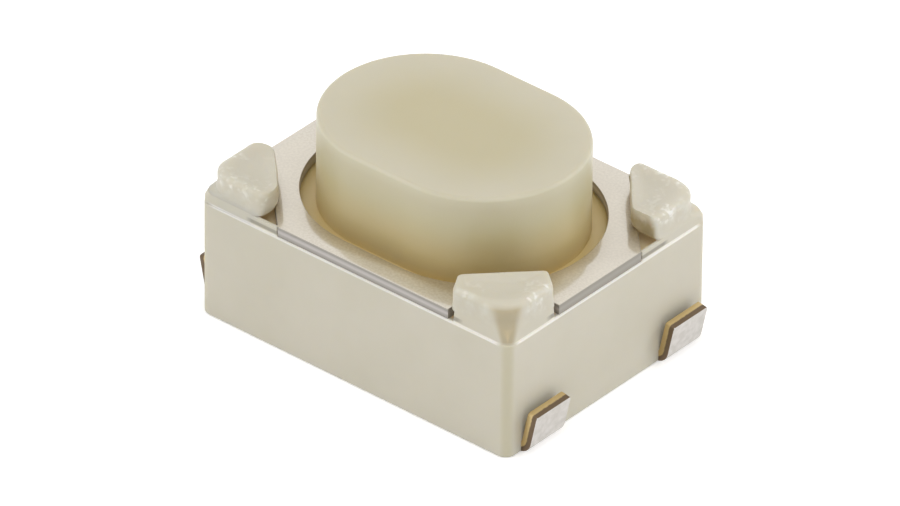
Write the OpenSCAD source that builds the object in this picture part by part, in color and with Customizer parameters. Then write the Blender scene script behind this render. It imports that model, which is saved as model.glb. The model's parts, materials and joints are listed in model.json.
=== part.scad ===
// Surface-mount tactile push button switch, in millimetres.
// The origin is at the centre of the underside, +X runs along the long side and +Z points up.
// A moulded housing carries two folded contact strips and a snap dome. The button stands on
// the dome. A flat cover lies on the rim, held by four corner posts with melted heads.

/* [Housing] */
// Length of the housing
body_l = 4.2; // [4.1:0.05:4.6]
// Width of the housing
body_w = 3.2; // [3.15:0.05:3.6]
// Height of the rim that the cover lies on
rim_z = 1.38; // [1.36:0.02:1.6]
// Radius of the upright corners
corner_r = 0.13; // [0.08:0.01:0.2]
// Thickness of the floor under the dome
floor_t = 0.36; // [0.34:0.01:0.4]

/* [Corner posts] */
// How far a post stands in from the housing walls
post_inset = 0.05; // [0.03:0.01:0.08]
// Length of a post along each wall
post_leg = 0.71; // [0.64:0.01:0.76]
// Gap between a post's inner face and the cover's notch
post_gap = 0.18; // [0.1:0.01:0.22]
// Gap between a post's side and the cover at the two close notches
side_gap = 0.07; // [0.05:0.01:0.1]
// Radius of a post's outer corner
post_r = 0.28; // [0.2:0.01:0.32]
// How far a melted head lies over the 45 degree edge of the cover's notch
head_lap = 0.05; // [0.01:0.01:0.08]
// How far a melted head bulges past the ends of its post
head_bulge = 0.02; // [0.01:0.01:0.04]
// How much further the ends of a head spread towards the inside
head_spread = 0.08; // [0.04:0.01:0.1]
// Height of a head above the cover
head_h = 0.26; // [0.2:0.01:0.3]
// Radius of the head's rounded top edge
head_r = 0.1; // [0.06:0.01:0.14]

/* [Cover] */
// Thickness of the cover sheet
cover_t = 0.12; // [0.08:0.01:0.15]
// How far the cover's edge lies in from the housing walls
cover_inset = 0.02; // [0.01:0.01:0.05]
// Length of an open notch along each edge of the cover
notch_leg = 1.04; // [1.0:0.02:1.16]
// Width of the cover's band along the long sides of its hole
cover_side = 0.27; // [0.25:0.01:0.3]
// Width of the cover's band at the round ends of its hole
cover_end = 0.39; // [0.36:0.01:0.44]

/* [Button] */
// Height of the button's top above the seating plane
stem_top = 2.43; // [2:0.05:3]
// Rounding of the button's top edge
stem_edge = 0.05; // [0.02:0.01:0.1]
// Gap between the button and the hole in the cover
stem_gap = 0.17; // [0.15:0.01:0.22]
// How far the flange reaches under the cover
flange_lap = 0.07; // [0.05:0.01:0.09]
// Thickness of the flange
flange_t = 0.28; // [0.2:0.01:0.3]
// Gap between the flange and the walls of its guide
guide_gap = 0.03; // [0.02:0.01:0.04]
// Gap between the flange and the underside of the cover
cover_gap = 0.02; // [0.01:0.01:0.03]
// Diameter of the nose that presses on the dome
nose_d = 0.8; // [0.6:0.05:1.2]
// Travel of the button
travel = 0.25; // [0.2:0.01:0.27]

/* [Snap dome] */
// Thickness of the housing wall beside the dome
well_wall = 0.22; // [0.2:0.01:0.28]
// Height that the dome rises above its rim
dome_rise = 0.32; // [0.31:0.01:0.36]
// Thickness of the dome sheet
dome_t = 0.06; // [0.04:0.01:0.07]
// Gap between the dome's rim and its well
dome_gap = 0.05; // [0.03:0.01:0.06]
// Gap between the dome and the nose at rest
nose_gap = 0.01; // [0.01:0.005:0.02]

/* [Contact strips] */
// Thickness of the contact sheet
sheet_t = 0.12; // [0.09:0.01:0.13]
// Width of a terminal and of its strip
terminal_w = 0.55; // [0.45:0.01:0.56]
// Distance from a terminal's outer side to the housing's long wall
terminal_side = 0.225; // [0.2:0.005:0.25]
// Height of a terminal's tip above the seating plane
terminal_h = 0.52; // [0.4:0.02:0.7]
// Lean of a terminal away from the wall, in degrees
terminal_lean = 12; // [6:1:18]
// Inner radius of a terminal's bend
bend_r = 0.05; // [0.04:0.01:0.06]
// Height of the buried strip's underside
strip_z = 0.18; // [0.16:0.01:0.2]
// How far a terminal's flat foot ends short of the wall
foot_inset = 0.04; // [0.03:0.01:0.05]
// Length of the flat foot inside the wall
foot_l = 0.15; // [0.1:0.01:0.2]
// Length of the ramp from the foot up to the buried strip
ramp_l = 0.2; // [0.15:0.01:0.25]
// Height that a dome pad stands above the floor
pad_rise = 0.04; // [0.03:0.01:0.06]
// Length of a dome pad along the dome's radius
pad_l = 0.25; // [0.2:0.01:0.3]
// How far a dome pad reaches past the dome's rim
pad_margin = 0.02; // [0.01:0.01:0.03]
// Width of a dome pad
pad_w = 0.4; // [0.3:0.02:0.5]
// Diameter of the centre contact
centre_d = 0.6; // [0.4:0.05:0.8]
// Sheet left round the centre contact on its tongue
tongue_margin = 0.05; // [0.02:0.01:0.1]

/* [Hidden] */
$fn = 96;
// Overshoot of a cut past the face that it opens
cut = 0.05;
// Play left between the dome and the centre contact when the button is down
snap_play = 0.01;
// Play left under the flange when the button is down
over_travel = 0.03;
// Number of layers that round a post's head
head_steps = 6;
// Facets round a post's head, a rounded top edge, a sheet bend and the dome
head_facets = 32;
edge_facets = 48;
bend_facets = 64;
dome_facets = 256;

// Hole in the cover, the button in it, and the flange and guide below it
hole_l = body_l - 2 * (cover_inset + cover_end);
hole_w = body_w - 2 * (cover_inset + cover_side);
stem_l = hole_l - 2 * stem_gap;
stem_w = hole_w - 2 * stem_gap;
flange_l = hole_l + 2 * flange_lap;
flange_w = hole_w + 2 * flange_lap;
guide_l = flange_l + 2 * guide_gap;
guide_w = flange_w + 2 * guide_gap;

// The dome and the well that it lies in
well_d = body_w - 2 * well_wall;
dome_d = well_d - 2 * dome_gap;

// Levels from the floor up
pad_top = floor_t + pad_rise;
dome_top = pad_top + dome_rise;
nose_z = dome_top + nose_gap;
centre_top = dome_top - dome_t - travel - snap_play;
flange_top = rim_z - cover_gap;
flange_z = flange_top - flange_t;
step_z = flange_z - travel - over_travel;
cover_top = rim_z + cover_t;

// Radius of the sphere that the dome is part of
dome_r = (pow(dome_d / 2, 2) + pow(dome_rise, 2)) / (2 * dome_rise);

// Distance from a housing corner, along its diagonal, to the notch and to the post's inner face
notch_reach = (notch_leg + 2 * cover_inset) / sqrt(2);
post_reach = notch_reach - post_gap;
head_reach = notch_reach + head_lap;
notch_side = post_inset + post_leg + side_gap;

// Contact strips: where the flat foot ends, the bend's outer radius, where the ramp starts,
// the far side of a dome pad, the spacing of the strips, a strip's inner side and the width
// of the tongue
foot_x = body_l / 2 - foot_inset;
bend_out = bend_r + sheet_t;
ramp_x = foot_x - foot_l - ramp_l;
ear_x = dome_d / 2 + pad_margin;
terminal_pitch = body_w - 2 * terminal_side - terminal_w;
strip_reach = terminal_pitch / 2 - terminal_w / 2;
tongue_w = centre_d + 2 * tongue_margin;

// Draws a child at all four corners by mirroring it in X and Y
module four_corners() {
    for (mx = [0, 1])
        for (my = [0, 1])
            mirror([mx, 0, 0])
                mirror([0, my, 0])
                    children();
}

// Flat stadium with its round ends on the X axis
module stadium(l, w) {
    square([l - w, w], center = true);
    for (side = [-1, 1])
        translate([side * (l - w) / 2, 0])
            circle(d = w);
}

// Solid stadium with a rounded top edge
module round_top_stadium(l, w, h, edge) {
    linear_extrude(height = h - edge)
        stadium(l, w);
    rotate([90, 0, 90])
        linear_extrude(height = l - w, center = true)
            edge_profile(w / 2, h, edge, true);
    for (side = [-1, 1])
        translate([side * (l - w) / 2, 0, 0])
            rotate_extrude()
                edge_profile(w / 2, h, edge, false);
}

// Cross-section of the top band, with a quarter round at the edge, on one side or on both
module edge_profile(half, h, edge, both) {
    translate([both ? edge - half : 0, h - edge])
        square([both ? 2 * (half - edge) : half - edge, edge]);
    for (side = both ? [-1, 1] : [1])
        intersection() {
            translate([side * (half - edge), h - edge])
                circle(r = edge, $fn = edge_facets);
            translate([side * half - edge, h - edge])
                square([2 * edge, edge]);
        }
}

// Box outline with round corners
module round_box(l, w, r) {
    square([l - 2 * r, w], center = true);
    square([l, w - 2 * r], center = true);
    four_corners()
        translate([l / 2 - r, w / 2 - r])
            circle(r = r);
}

// Outline of a post at the +X +Y corner, drawn inwards from the housing's corner: round outside,
// cut at 45 degrees inside, with its sides spreading towards the inside
module post_outline(inset, leg, spread, reach, r) {
    end = inset + leg;
    back = end + spread;
    near = reach * sqrt(2) - back;
    translate([body_l / 2, body_w / 2])
        rotate(180)
            intersection() {
                polygon([[inset, inset], [end, inset], [back, near], [near, back], [inset, end]]);
                union() {
                    translate([inset + r, inset + r])
                        circle(r = r);
                    translate([inset + r, inset])
                        square([leg + spread, leg + spread]);
                    translate([inset, inset + r])
                        square([leg + spread, leg + spread]);
                }
            }
}

// One post: a plain shank up through the cover's notch and a melted head above it
module post() {
    translate([0, 0, rim_z - cut])
        linear_extrude(height = cover_t + cut)
            post_outline(post_inset, post_leg, 0, post_reach, post_r);
    hull()
        for (step = [0:head_steps])
            head_layer(90 * step / head_steps);
}

// One layer of a head, at a given angle round its quarter-round edge
module head_layer(angle) {
    draw = head_r * (1 - cos(angle));
    translate([0, 0, cover_top])
        linear_extrude(height = head_h - head_r * (1 - sin(angle)))
            post_outline(post_inset + draw, post_leg + head_bulge - 2 * draw, head_spread,
                head_reach - draw, post_r, $fn = head_facets);
}

// Side view of one half of a contact strip, drawn in X and Z, from the middle to the tip
module strip_profile() {
    translate([0, strip_z])
        square([ramp_x, sheet_t]);
    polygon([
        [ramp_x, strip_z],
        [ramp_x, strip_z + sheet_t],
        [ramp_x + ramp_l, sheet_t],
        [ramp_x + ramp_l, 0]
    ]);
    translate([ramp_x + ramp_l, 0])
        square([foot_x - ramp_x - ramp_l, sheet_t]);
    bend_profile();
    translate([foot_x, bend_out])
        rotate(-terminal_lean)
            translate([bend_r, 0])
                square([sheet_t, tip_length()]);
}

// Length of the straight tip above the bend that brings its outer edge to terminal_h
function tip_length() = (terminal_h - bend_out + bend_r * sin(terminal_lean)) / cos(terminal_lean);

// The bend from the flat foot to the leaning tip
module bend_profile() {
    translate([foot_x, bend_out])
        intersection() {
            difference() {
                circle(r = bend_out, $fn = bend_facets);
                circle(r = bend_r, $fn = bend_facets);
            }
            polygon([
                [0, 0],
                [0, -2 * bend_out],
                [2 * bend_out, -2 * bend_out],
                [2 * bend_out * cos(terminal_lean), -2 * bend_out * sin(terminal_lean)]
            ]);
        }
}

// A whole strip with a terminal at each end, on the side given by sign
module strip(sign) {
    translate([0, sign * terminal_pitch / 2, 0])
        for (mx = [0, 1])
            mirror([mx, 0, 0])
                rotate([90, 0, 0])
                    linear_extrude(height = terminal_w, center = true)
                        strip_profile();
}

// Flat plate at the level of the buried strip, between two corners
module web(low, high) {
    translate([low[0], low[1], strip_z])
        cube([high[0] - low[0], high[1] - low[1], sheet_t]);
}

// Moulded housing: box, guide for the flange, well for the dome, and corner posts
module housing() {
    color("#cfc8b2")
        difference() {
            union() {
                linear_extrude(height = rim_z)
                    round_box(body_l, body_w, corner_r);
                four_corners()
                    post();
            }
            translate([0, 0, step_z])
                linear_extrude(height = rim_z - step_z + cut)
                    stadium(guide_l, guide_w);
            translate([0, 0, floor_t])
                cylinder(d = well_d, h = rim_z - floor_t);
            common_contact_frame();
            centre_contact_frame();
        }
}

// Stamped cover with a stadium hole. Two opposite corners have an open 45 degree notch, and the
// other two a closer notch with square sides, so that the cover fits only one way round.
module cover() {
    color("#ddd5c5")
        translate([0, 0, rim_z])
            linear_extrude(height = cover_t)
                difference() {
                    square([body_l - 2 * cover_inset, body_w - 2 * cover_inset], center = true);
                    stadium(hole_l, hole_w);
                    for (turn = [0, 180])
                        rotate(turn) {
                            open_notch();
                            mirror([0, 1])
                                close_notch();
                        }
                }
}

// Notch at the +X +Y corner, cut straight across at 45 degrees
module open_notch() {
    translate([body_l / 2, body_w / 2])
        rotate(45)
            square([2 * notch_reach, 2 * body_w], center = true);
}

// The same notch, held between two sides that pass close by the post
module close_notch() {
    intersection() {
        open_notch();
        translate([body_l / 2 - notch_side, body_w / 2 - notch_side])
            square(notch_side + cut);
    }
}

// Button: column, retaining flange and the nose that rests on the dome
module stem() {
    color("#cdc7a8") {
        translate([0, 0, flange_z])
            round_top_stadium(stem_l, stem_w, stem_top - flange_z, stem_edge);
        translate([0, 0, flange_z])
            linear_extrude(height = flange_t)
                stadium(flange_l, flange_w);
        translate([0, 0, nose_z])
            cylinder(d = nose_d, h = flange_z - nose_z + cut);
    }
}

// Strip on the -Y side with two ears that reach in to the pads under the dome's rim
module common_contact_frame() {
    color("#c9c4bc") {
        strip(-1);
        for (mx = [0, 1])
            mirror([mx, 0, 0]) {
                web([ear_x - pad_l, -strip_reach - cut], [ear_x, pad_w / 2]);
                translate([ear_x - pad_l, -pad_w / 2, strip_z])
                    cube([pad_l, pad_w, pad_top - strip_z]);
            }
    }
}

// Strip on the +Y side with a tongue that reaches in to the raised centre contact
module centre_contact_frame() {
    color("#c9c4bc") {
        strip(1);
        web([-tongue_w / 2, -tongue_w / 2], [tongue_w / 2, strip_reach + cut]);
        translate([0, 0, strip_z])
            cylinder(d = centre_d, h = centre_top - strip_z);
    }
}

// Domed spring disc that stands on the two pads
module snap_dome() {
    color("#b9bcc0")
        translate([0, 0, pad_top])
            rotate_extrude()
                intersection() {
                    translate([0, dome_rise - dome_r])
                        difference() {
                            circle(r = dome_r, $fn = dome_facets);
                            circle(r = dome_r - dome_t, $fn = dome_facets);
                        }
                    square([dome_d / 2, dome_rise + cut]);
                }
}

housing();
cover();
stem();
common_contact_frame();
centre_contact_frame();
snap_dome();
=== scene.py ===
# %% [markdown]
# This notebook dresses a surface-mount tactile switch for a close-up. The switch is only
# 4.2 mm long, so every edge, moulding skin and cut sheet edge shows. The imported CAD solids
# give the places and sizes. They are coarse at this magnification, so each piece is modelled
# again here, finer and with its true edges, and takes over from the solid in the same place.
# The first cell loads that frame.

# %% Load the frame
import json
from math import cos, pi, radians, sin, sqrt

import bmesh
import bpy
from bmesh.types import BMEdge, BMFace, BMVert
from mathutils import Matrix, Vector, noise

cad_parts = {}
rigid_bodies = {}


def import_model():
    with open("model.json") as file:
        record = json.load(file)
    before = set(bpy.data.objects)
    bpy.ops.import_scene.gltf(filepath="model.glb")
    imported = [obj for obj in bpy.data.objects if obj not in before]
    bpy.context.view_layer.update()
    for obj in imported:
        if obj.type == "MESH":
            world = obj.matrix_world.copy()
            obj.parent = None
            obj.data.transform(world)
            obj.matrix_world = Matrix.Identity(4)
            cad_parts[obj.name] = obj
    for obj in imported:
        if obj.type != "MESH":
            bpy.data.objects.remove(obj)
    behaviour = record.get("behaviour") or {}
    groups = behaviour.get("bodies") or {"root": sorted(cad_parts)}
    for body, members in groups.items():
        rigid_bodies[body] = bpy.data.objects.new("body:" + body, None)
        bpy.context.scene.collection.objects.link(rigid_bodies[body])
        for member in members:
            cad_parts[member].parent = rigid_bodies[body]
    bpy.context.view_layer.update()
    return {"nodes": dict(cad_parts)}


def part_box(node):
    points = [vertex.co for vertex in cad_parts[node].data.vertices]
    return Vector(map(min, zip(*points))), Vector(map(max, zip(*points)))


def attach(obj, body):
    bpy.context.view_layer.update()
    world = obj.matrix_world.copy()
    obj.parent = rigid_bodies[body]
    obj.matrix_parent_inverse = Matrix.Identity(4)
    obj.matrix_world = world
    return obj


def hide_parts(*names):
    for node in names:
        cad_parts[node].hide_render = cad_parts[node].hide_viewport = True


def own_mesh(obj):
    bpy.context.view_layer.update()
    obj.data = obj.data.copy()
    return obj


for leftover in list(bpy.data.objects):
    bpy.data.objects.remove(leftover)

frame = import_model()
print("CAD nodes:", sorted(frame["nodes"]))

# %% [markdown]
# Blender works in metres, and a bevel of a hundredth of a millimetre would drown in its
# rounding limits. So every mesh is modelled in millimetres, and only the finished mesh is
# scaled down. The outer sizes come from the boxes of the CAD nodes with flat sides. What a box
# can't say, such as the width of the cover's band beside its hole, is a named value.

# %% Sizes in millimetres
MM = 0.001
CORNER_R = 0.13
COVER_SIDE = 0.27
COVER_END = 0.39
STEM_GAP = 0.17

house_low, house_high = (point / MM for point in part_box("housing"))
cover_low, cover_high = (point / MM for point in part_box("cover"))
stem_low, stem_high = (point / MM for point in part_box("stem"))
dome_low, dome_high = (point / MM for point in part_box("snap_dome"))

BODY_L = house_high.x - house_low.x
BODY_W = house_high.y - house_low.y
HEAD_TOP = house_high.z
RIM_Z = cover_low.z
COVER_TOP = cover_high.z
STEM_TOP = stem_high.z
HOLE_L = cover_high.x - cover_low.x - 2 * COVER_END
HOLE_W = cover_high.y - cover_low.y - 2 * COVER_SIDE
STEM_L = HOLE_L - 2 * STEM_GAP
STEM_W = HOLE_W - 2 * STEM_GAP
print(f"housing {BODY_L:.2f} x {BODY_W:.2f} mm, rim at {RIM_Z:.2f}, heads up to {HEAD_TOP:.2f}")
print(f"hole {HOLE_L:.2f} x {HOLE_W:.2f} mm, button {STEM_L:.2f} x {STEM_W:.2f} mm")

# %% [markdown]
# The photograph was taken with a long lens from the front right, about 34 degrees above the
# table. A long lens keeps parallel edges nearly parallel. The camera stands 150 mm away on
# that line of sight, rolled by half a degree, and is moved sideways a little so that the
# switch sits in the frame as it does in the photograph.

# %% Camera
CAMERA_AZIMUTH = radians(40.17)
CAMERA_ELEVATION = radians(33.68)
CAMERA_ROLL = radians(0.586)
CAMERA_DISTANCE = 150.0
CAMERA_SIDE = 0.0259
CAMERA_UP = -0.6993
SENSOR = 36.0
IMAGE_WIDTH = 900
FOCAL_PIXELS = 14411
CLIP = (0.01, 2.0)

back = Vector((
    sin(CAMERA_AZIMUTH) * cos(CAMERA_ELEVATION),
    -cos(CAMERA_AZIMUTH) * cos(CAMERA_ELEVATION),
    sin(CAMERA_ELEVATION),
))
level = Vector((cos(CAMERA_AZIMUTH), sin(CAMERA_AZIMUTH), 0))
right = Matrix.Rotation(CAMERA_ROLL, 3, back) @ level
up = back.cross(right)
eye = (back * CAMERA_DISTANCE - right * CAMERA_SIDE - up * CAMERA_UP) * MM

camera = bpy.data.objects.new("camera", bpy.data.cameras.new("camera"))
bpy.context.collection.objects.link(camera)
camera.data.sensor_width = SENSOR
camera.data.lens = SENSOR * FOCAL_PIXELS / IMAGE_WIDTH
camera.data.clip_start, camera.data.clip_end = CLIP
camera.matrix_world = Matrix.Translation(eye) @ Matrix((right, up, back)).transposed().to_4x4()
bpy.context.scene.camera = camera
print(f"lens {camera.data.lens:.0f} mm, eye at {[round(c, 4) for c in eye]}")

# %% [markdown]
# Materials are node trees. A tree reads more easily when one helper adds a node, sets its
# values and draws its links in a single call, so that is the only node helper here. Colours
# are written as the hex values that a picture editor shows, and turned to linear light once.

# %% Material helpers
def linear(hex_colour):
    """sRGB hex such as c8c0ac as linear RGBA."""
    channels = [int(hex_colour[at:at + 2], 16) / 255 for at in (0, 2, 4)]
    return [c / 12.92 if c <= 0.04045 else ((c + 0.055) / 1.055) ** 2.4 for c in channels] + [1]


def add_node(tree, kind, settings=None, **inputs):
    """Adds a shader node. An input is named, or numbered as _0, and takes a value, node or socket."""
    node = tree.nodes.new("ShaderNode" + kind)
    for name, value in (settings or {}).items():
        setattr(node, name, value)
    open_inputs = [socket for socket in node.inputs if socket.enabled]
    for name, value in inputs.items():
        wanted = name.replace("_", " ")
        if name[1:].isdigit():
            socket = open_inputs[int(name[1:])]
        else:
            socket = next(s for s in open_inputs if s.name == wanted)
        if isinstance(value, bpy.types.Node):
            value = next(s for s in value.outputs if s.enabled)
        if isinstance(value, bpy.types.NodeSocket):
            tree.links.new(value, socket)
        else:
            socket.default_value = value
    return node


def new_material(name):
    """An empty node material, its tree, and the place on the object as a socket."""
    material = bpy.data.materials.new(name)
    material.use_nodes = True
    material.node_tree.nodes.clear()
    place = add_node(material.node_tree, "TexCoord").outputs["Object"]
    return material, material.node_tree, place


def fill_ramp(ramp, stops):
    """Gives a colour ramp its stops, each a position from 0 to 1 and a hex colour."""
    while len(ramp.elements) < len(stops):
        ramp.elements.new(0.5)
    for element, (at, colour) in zip(ramp.elements, stops):
        element.position = at
        element.color = linear(colour)


# %% [markdown]
# The housing and the button are moulded in natural nylon, a cream resin that lets a little
# light in. That is why thick parts look like warm ivory, thin edges almost white, and the
# bottom of a gap golden brown instead of black. Subsurface scattering with a reach of a few
# tenths of a millimetre does part of this, and painted light and shade further down do the
# rest. A spark-eroded mould leaves a fine frost on the skin, drawn here as a bump of 0.03 mm
# grains, and resin flow leaves clouds about 0.9 mm across.

# %% Nylon skin
def finish_nylon(material, tree, place, colour, roughness, bump=None, glow=0.0):
    """Gives a nylon tree its clouds, grain and shader. The glow is painted light: an emission that
    stands in for light coming through the resin.
    """
    flow = add_node(tree, "TexNoise", Vector=place, Scale=1 / (0.9 * MM), Detail=3.0)
    cloudy = add_node(tree, "MapRange", Value=flow, From_Min=0.35, From_Max=0.65, To_Max=0.16)
    colour = add_node(tree, "Mix", {"data_type": "RGBA"}, Factor=cloudy, A=colour, B=linear("bdb79c"))
    wear = add_node(tree, "TexNoise", Vector=place, Scale=1 / (0.25 * MM), Detail=3.0)
    rough = add_node(
        tree, "MapRange", Value=wear, From_Min=0.3, From_Max=0.7,
        To_Min=roughness - 0.06, To_Max=roughness + 0.06,
    )
    frost = add_node(tree, "TexNoise", Vector=place, Scale=1 / (0.03 * MM), Detail=3.0)
    skin = add_node(tree, "Bump", Strength=0.2, Distance=0.004 * MM, Height=frost)
    if bump:
        tree.links.new(bump.outputs["Normal"], skin.inputs["Normal"])
    shader = add_node(
        tree, "BsdfPrincipled", Base_Color=colour, Roughness=rough, IOR=1.53, Normal=skin,
        Subsurface_Weight=0.3, Subsurface_Radius=(1.0, 0.8, 0.45), Subsurface_Scale=0.2 * MM,
        Emission_Color=linear("e0c090"), Emission_Strength=glow,
    )
    add_node(tree, "OutputMaterial", Surface=shader)
    return material


# %% [markdown]
# The button is looked at from above and from the side. Its side stands in a gap, and shade
# and light bounced off the cream walls of the gap tint it: golden at the foot, ivory at the top,
# paler at the very top edge. A colour ramp by height paints that shade, bounced light and edge
# highlight. The top is thick resin in the middle and thin light-filled resin at the rim, so its
# painted light is blended by the distance from the middle line of the stadium: darker in the
# middle, paler at the rim.

# %% Button resin
# Painted shade and bounced light on the button's side, golden low and ivory high, with a painted
# highlight at the top edge.
BUTTON_PAINTED_SHADE = [
    (1.36, "dac284"), (1.45, "cdb781"), (1.6, "c4b17c"), (1.75, "c4b382"), (1.9, "c5b88c"),
    (2.08, "c7be9a"), (2.27, "cac2a4"), (2.38, "cfc9af"), (2.43, "d8d3bf"),
]

button_resin, tree, place = new_material("natural_nylon_button")
split = add_node(tree, "SeparateXYZ", Vector=place)
side_low = BUTTON_PAINTED_SHADE[0][0]
height = add_node(
    tree, "MapRange", Value=split.outputs["Z"], From_Min=side_low * MM, From_Max=STEM_TOP * MM,
)
side_painted_shade = add_node(tree, "ValToRGB", Fac=height)
side_stops = [((z - side_low) / (STEM_TOP - side_low), colour) for z, colour in BUTTON_PAINTED_SHADE]
fill_ramp(side_painted_shade.color_ramp, side_stops)

across = add_node(tree, "Math", {"operation": "ABSOLUTE"}, _0=split.outputs["X"])
beyond = add_node(tree, "Math", {"operation": "SUBTRACT"}, _0=across, _1=(STEM_L - STEM_W) / 2 * MM)
beyond = add_node(tree, "Math", {"operation": "MAXIMUM"}, _0=beyond, _1=0.0)
flat = add_node(tree, "CombineXYZ", X=beyond, Y=split.outputs["Y"])
from_middle = add_node(tree, "VectorMath", {"operation": "LENGTH"}, _0=flat)
outwards = add_node(
    tree, "MapRange", {"interpolation_type": "SMOOTHSTEP"}, Value=from_middle,
    From_Min=0.25 * MM, From_Max=1.1 * MM,
)
# Painted light on the top: darker in the thick middle, paler at the thin rim.
top_painted_light = add_node(
    tree, "Mix", {"data_type": "RGBA"}, Factor=outwards, A=linear("c3b996"), B=linear("ccc5ae"),
)
on_top = add_node(
    tree, "MapRange", Value=split.outputs["Z"],
    From_Min=(STEM_TOP - 0.03) * MM, From_Max=(STEM_TOP - 0.005) * MM,
)
colour = add_node(tree, "Mix", {"data_type": "RGBA"}, Factor=on_top, A=side_painted_shade, B=top_painted_light)
finish_nylon(button_resin, tree, place, colour, 0.38)
print("button resin:", len(tree.nodes), "nodes")

# %% [markdown]
# The housing has the same resin, but it doesn't look the same everywhere: it gets golden
# painted shade in the gaps, a nearly white painted highlight along the rim, and frost where it
# was melted. Every such place lies between some heights and at some distances from the outer
# walls. So the tree first measures, for each point of the surface, how far it is from the walls
# and from the corners.

# %% Distances on the housing
housing_resin, tree, place = new_material("natural_nylon_moulding")
split = add_node(tree, "SeparateXYZ", Vector=place)
z = split.outputs["Z"]
from_walls = []
for axis, length in (("X", BODY_L), ("Y", BODY_W)):
    across = add_node(tree, "Math", {"operation": "ABSOLUTE"}, _0=split.outputs[axis])
    from_walls.append(add_node(tree, "Math", {"operation": "SUBTRACT"}, _0=length / 2 * MM, _1=across))
from_end, from_side = from_walls
inside = add_node(tree, "Math", {"operation": "MINIMUM"}, _0=from_end, _1=from_side)
from_corner = add_node(tree, "Math", {"operation": "ADD"}, _0=from_end, _1=from_side)
right_wall = add_node(tree, "Math", {"operation": "SUBTRACT"}, _0=BODY_L / 2 * MM, _1=split.outputs["X"])
left_wall = add_node(tree, "Math", {"operation": "ADD"}, _0=BODY_W / 2 * MM, _1=split.outputs["Y"])
from_front = add_node(tree, "Math", {"operation": "ADD"}, _0=right_wall, _1=left_wall)
print("distances on the housing:", len(tree.nodes), "nodes")

# %% [markdown]
# Then come the limits of the places. Paint by distance would have hard borders, and light in a
# resin has none, so every limit is a ramp. A row of the table is one ramp: what it measures,
# the distance or height in millimetres where it starts, the one where it is complete, and the
# shares at both. The names say where the surface has to be for a share of 1.

# %% Soft limits
SOFT_LIMITS = {
    "behind_wall": (inside, 0.05, 0.09, 0, 1),
    "on_wall": (inside, 0.05, 0.04, 0, 0.8),
    "off_wall": (inside, 0.055, 0.085, 0, 1),
    "beside_wall": (inside, 0.15, 0.1, 0, 1),
    "outer_edge": (inside, 0.16, 0.11, 0.25, 1),
    "at_edge": (inside, 0.034, 0.02, 0, 1),
    "inner_side": (from_side, 0.6, 0.7, 0, 0.9),
    "near_end": (from_end, 0.5, 0.42, 0, 1),
    "on_corner": (from_corner, 0.11, 0.08, 0, 0.7),
    "off_corner": (from_corner, 0.12, 0.2, 0, 1),
    "past_post": (from_corner, 0.64, 0.72, 0, 1),
    "beside_post": (from_corner, 1.25, 1.1, 0, 1),
    "front_corner": (from_front, 0.5, 0.44, 0, 1),
    "above_base": (z, 0.2, 0.5, 0, 1),
    "above_guide": (z, RIM_Z - 0.06, RIM_Z - 0.02, 0, 1),
    "near_rim": (z, RIM_Z - 0.024, RIM_Z - 0.012, 0, 1),
    "up_to_rim": (z, RIM_Z + 0.02, RIM_Z + 0.01, 0, 1),
    "above_rim": (z, RIM_Z, RIM_Z + 0.03, 0, 1),
    "above_line": (z, RIM_Z + 0.02, RIM_Z + 0.03, 0, 1),
    "below_line": (z, RIM_Z + 0.075, RIM_Z + 0.06, 0, 1),
    "in_gap": (z, COVER_TOP + 0.04, RIM_Z, 0, 1),
    "over_cover": (z, COVER_TOP - 0.01, COVER_TOP, 0, 1),
    "on_head": (z, COVER_TOP, COVER_TOP + 0.06, 0, 1),
    "rising": (z, COVER_TOP, HEAD_TOP - 0.08, 0, 1),
    "high_edge": (z, HEAD_TOP - 0.15, HEAD_TOP - 0.09, 0.2, 1),
    "below_edge": (z, HEAD_TOP - 0.03, HEAD_TOP - 0.12, 0, 1),
    "below_crown": (z, HEAD_TOP - 0.01, HEAD_TOP - 0.04, 0, 1),
}
limits = {}
for name, (measured, begin, full, least, most) in SOFT_LIMITS.items():
    limits[name] = add_node(
        tree, "MapRange", Value=measured, From_Min=begin * MM, From_Max=full * MM,
        To_Min=least, To_Max=most,
    )
print("soft limits:", len(limits))

# %% [markdown]
# Two things aren't ramps of a distance in millimetres. On the outer corner of the front post the
# hot tool drew the resin down into a slope, and a tan funnel of painted shade shows there, wide at
# the top and narrow at the rim. So it is measured in widths of the funnel at that height. And a
# melted head froze quickly, so it is frosted: white flakes in patches, which along the head's edge
# are also painted glints. A thin pale haze lies over the heads' outer sides too. Those are noises.

# %% Funnel and frost
# Widths of the funnel of painted shade on the front post, at the rim and near the crown.
FUNNEL_WIDTHS = (0.1, 0.24)
# The flakes are frost and also painted glints along the heads' edges.
FROST = {
    "flakes": (0.07, 1.5, 0.5, 0.66, 0.85),
    "patches": (0.3, 2.0, 0.46, 0.56, 1),
    "haze": (0.13, 2.0, 0.44, 0.64, 0.35),
}

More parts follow.
